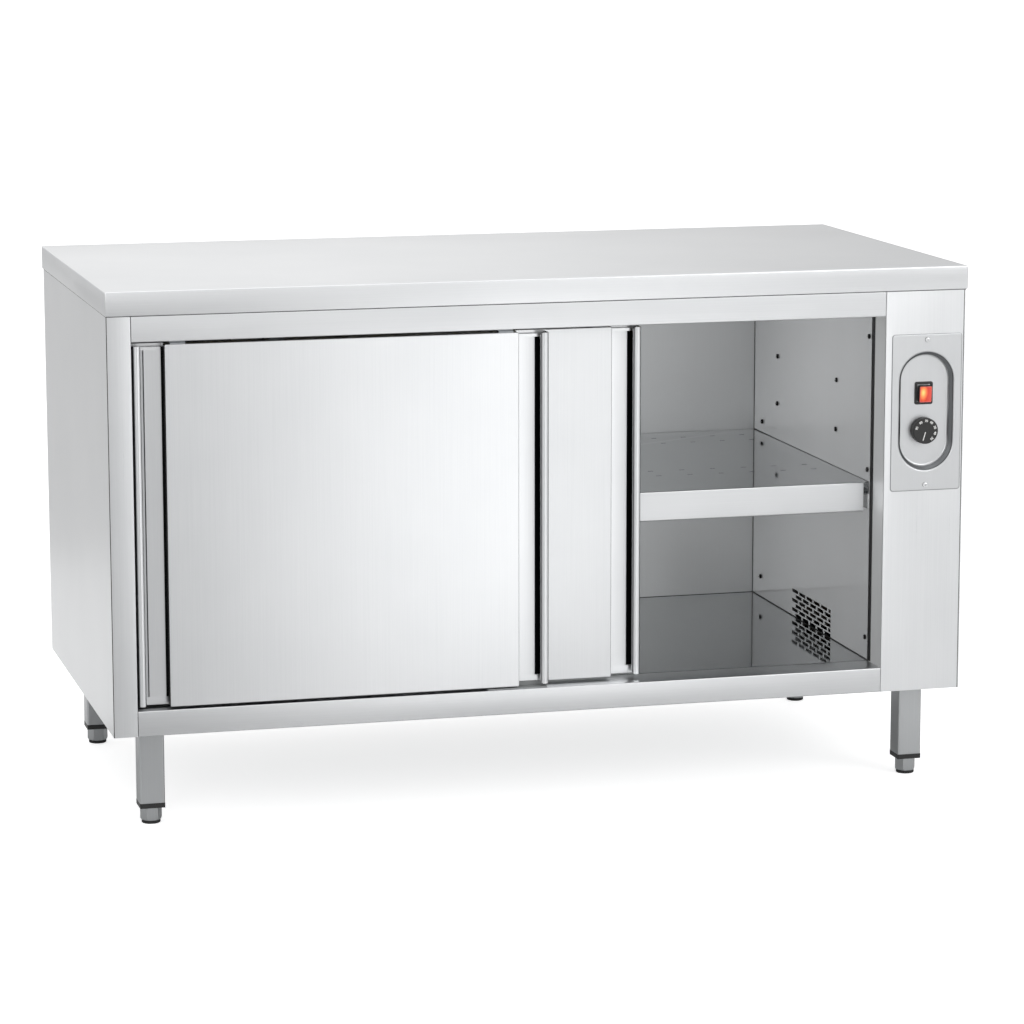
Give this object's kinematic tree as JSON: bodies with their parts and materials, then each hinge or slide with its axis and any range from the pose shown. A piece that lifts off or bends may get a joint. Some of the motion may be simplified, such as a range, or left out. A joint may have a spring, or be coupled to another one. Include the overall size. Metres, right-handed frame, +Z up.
{
  "type": "heated plate warmer cabinet",
  "caption": "Free-standing heated stainless steel cabinet with a flat worktop, sliding doors hung from a twin track, a loose shelf, a fan heater behind a slotted wall and adjustable feet.",
  "frame": {"origin": "on the floor, at the middle of the cabinet's footprint", "axes": "+X to the right of a person facing the doors, the doors face -Y, +Z up"},
  "size_m": [1.4, 0.7, 0.85],
  "materials": {
    "worktop_steel": "brushed stainless steel sheet, grain along the worktop",
    "outer_steel": "brushed stainless steel sheet",
    "door_steel": "brushed stainless steel sheet",
    "inner_steel": "plain rolled stainless steel sheet, duller than the outside",
    "plain_steel": "folded sheet steel, unpolished",
    "screw_steel": "stainless steel machine screws",
    "foot_metal": "turned and milled steel",
    "impeller_alu": "bare aluminium",
    "motor_iron": "laminated iron, lacquered",
    "heater_steel": "heat-tinted steel tube with pressed fins",
    "thermostat_metal": "plated metal",
    "mineral_wool": "pressed mineral wool board",
    "black_plastic": "moulded black plastic",
    "sole_plastic": "black moulded sole",
    "nylon": "natural nylon",
    "lamp_red": "clear red moulded cap, lit from inside",
    "terminal_white": "natural polyamide"
  },
  "bodies": {
    "cabinet": {"worktop": "worktop_steel", "worktop_stiffeners": "plain_steel", "side_panel_left": "outer_steel", "side_panel_right": "outer_steel", "back_panel": "outer_steel", "bottom_panel": "plain_steel", "left_stile": "outer_steel", "top_rail": "outer_steel", "bottom_rail": "outer_steel", "control_column": "outer_steel", "liner_left": "inner_steel", "liner_right": "inner_steel", "liner_back": "inner_steel", "liner_floor": "inner_steel", "liner_ceiling": "inner_steel", "insulation": "mineral_wool", "inner_posts": "plain_steel", "shelf": "inner_steel", "shelf_supports": "inner_steel", "door_track": "plain_steel", "bottom_guide": "black_plastic", "panel_screws": "screw_steel", "legs": "outer_steel", "leg_inserts": "black_plastic", "control_plate": "outer_steel", "switch_body": "black_plastic", "thermostat": "thermostat_metal", "terminal_block": "terminal_white", "cable_gland": "black_plastic", "fan_housing": "plain_steel", "fan_motor": "motor_iron", "air_duct": "plain_steel", "heating_element": "heater_steel"},
    "front_door": {"front_door_face": "door_steel", "front_door_back": "door_steel", "front_door_grip_left": "door_steel", "front_door_grip_right": "door_steel", "front_door_hangers": "plain_steel"},
    "rear_door": {"rear_door_face": "door_steel", "rear_door_back": "door_steel", "rear_door_grip_left": "door_steel", "rear_door_grip_right": "door_steel", "rear_door_hangers": "plain_steel"},
    "front_door_roller_left": {"front_roller_left": "nylon"},
    "front_door_roller_right": {"front_roller_right": "nylon"},
    "rear_door_roller_left": {"rear_roller_left": "nylon"},
    "rear_door_roller_right": {"rear_roller_right": "nylon"},
    "foot_front_left": {"foot_front_left": "foot_metal", "sole_front_left": "sole_plastic"},
    "foot_front_right": {"foot_front_right": "foot_metal", "sole_front_right": "sole_plastic"},
    "foot_back_left": {"foot_back_left": "foot_metal", "sole_back_left": "sole_plastic"},
    "foot_back_right": {"foot_back_right": "foot_metal", "sole_back_right": "sole_plastic"},
    "rocker": {"switch_rocker": "lamp_red"},
    "knob": {"control_knob": "black_plastic", "knob_spindle": "plain_steel"},
    "impeller": {"fan_impeller": "impeller_alu"}
  },
  "joints": [
    {"name": "front_door_slide", "type": "slide", "parent": "cabinet", "child": "front_door", "axis": [1, 0, 0], "range_m": [0, 0.557]},
    {"name": "rear_door_slide", "type": "slide", "parent": "cabinet", "child": "rear_door", "axis": [1, 0, 0], "range_m": [-0.1605, 0.3965]},
    {"name": "front_roller_left_turn", "type": "hinge", "parent": "front_door", "child": "front_door_roller_left", "pos_m": [-0.5875, -0.328, 0.7923], "axis": [0, 1, 0], "range_deg": [-5, 3364.3]},
    {"name": "front_roller_right_turn", "type": "hinge", "parent": "front_door", "child": "front_door_roller_right", "pos_m": [-0.0675, -0.328, 0.7923], "axis": [0, 1, 0], "range_deg": [-5, 3364.3]},
    {"name": "rear_roller_left_turn", "type": "hinge", "parent": "rear_door", "child": "rear_door_roller_left", "pos_m": [-0.427, -0.298, 0.7923], "axis": [0, 1, 0], "range_deg": [-973, 2396.3]},
    {"name": "rear_roller_right_turn", "type": "hinge", "parent": "rear_door", "child": "rear_door_roller_right", "pos_m": [0.093, -0.298, 0.7923], "axis": [0, 1, 0], "range_deg": [-973, 2396.3]},
    {"name": "rocker_tilt", "type": "hinge", "parent": "cabinet", "child": "rocker", "pos_m": [0.633, -0.3322, 0.643], "axis": [1, 0, 0], "range_deg": [-10, 0]},
    {"name": "knob_turn", "type": "hinge", "parent": "cabinet", "child": "knob", "pos_m": [0.633, -0.34, 0.5825], "axis": [0, 1, 0], "range_deg": [-195, 75]},
    {"name": "impeller_turn", "type": "hinge", "parent": "cabinet", "child": "impeller", "pos_m": [0.614, 0, 0.596], "axis": [0, 1, 0], "continuous": true},
    {"name": "foot_front_left_height", "type": "slide", "parent": "cabinet", "child": "foot_front_left", "axis": [0, 0, -1], "range_m": [0, 0.045]},
    {"name": "foot_front_right_height", "type": "slide", "parent": "cabinet", "child": "foot_front_right", "axis": [0, 0, -1], "range_m": [0, 0.045]},
    {"name": "foot_back_left_height", "type": "slide", "parent": "cabinet", "child": "foot_back_left", "axis": [0, 0, -1], "range_m": [0, 0.045]},
    {"name": "foot_back_right_height", "type": "slide", "parent": "cabinet", "child": "foot_back_right", "axis": [0, 0, -1], "range_m": [0, 0.045]}
  ],
  "couplings": [
    {"joint": "front_roller_left_turn", "follows": "front_door_slide", "rad_per_m": 105.26},
    {"joint": "front_roller_right_turn", "follows": "front_door_slide", "rad_per_m": 105.26},
    {"joint": "rear_roller_left_turn", "follows": "rear_door_slide", "rad_per_m": 105.26},
    {"joint": "rear_roller_right_turn", "follows": "rear_door_slide", "rad_per_m": 105.26}
  ]
}
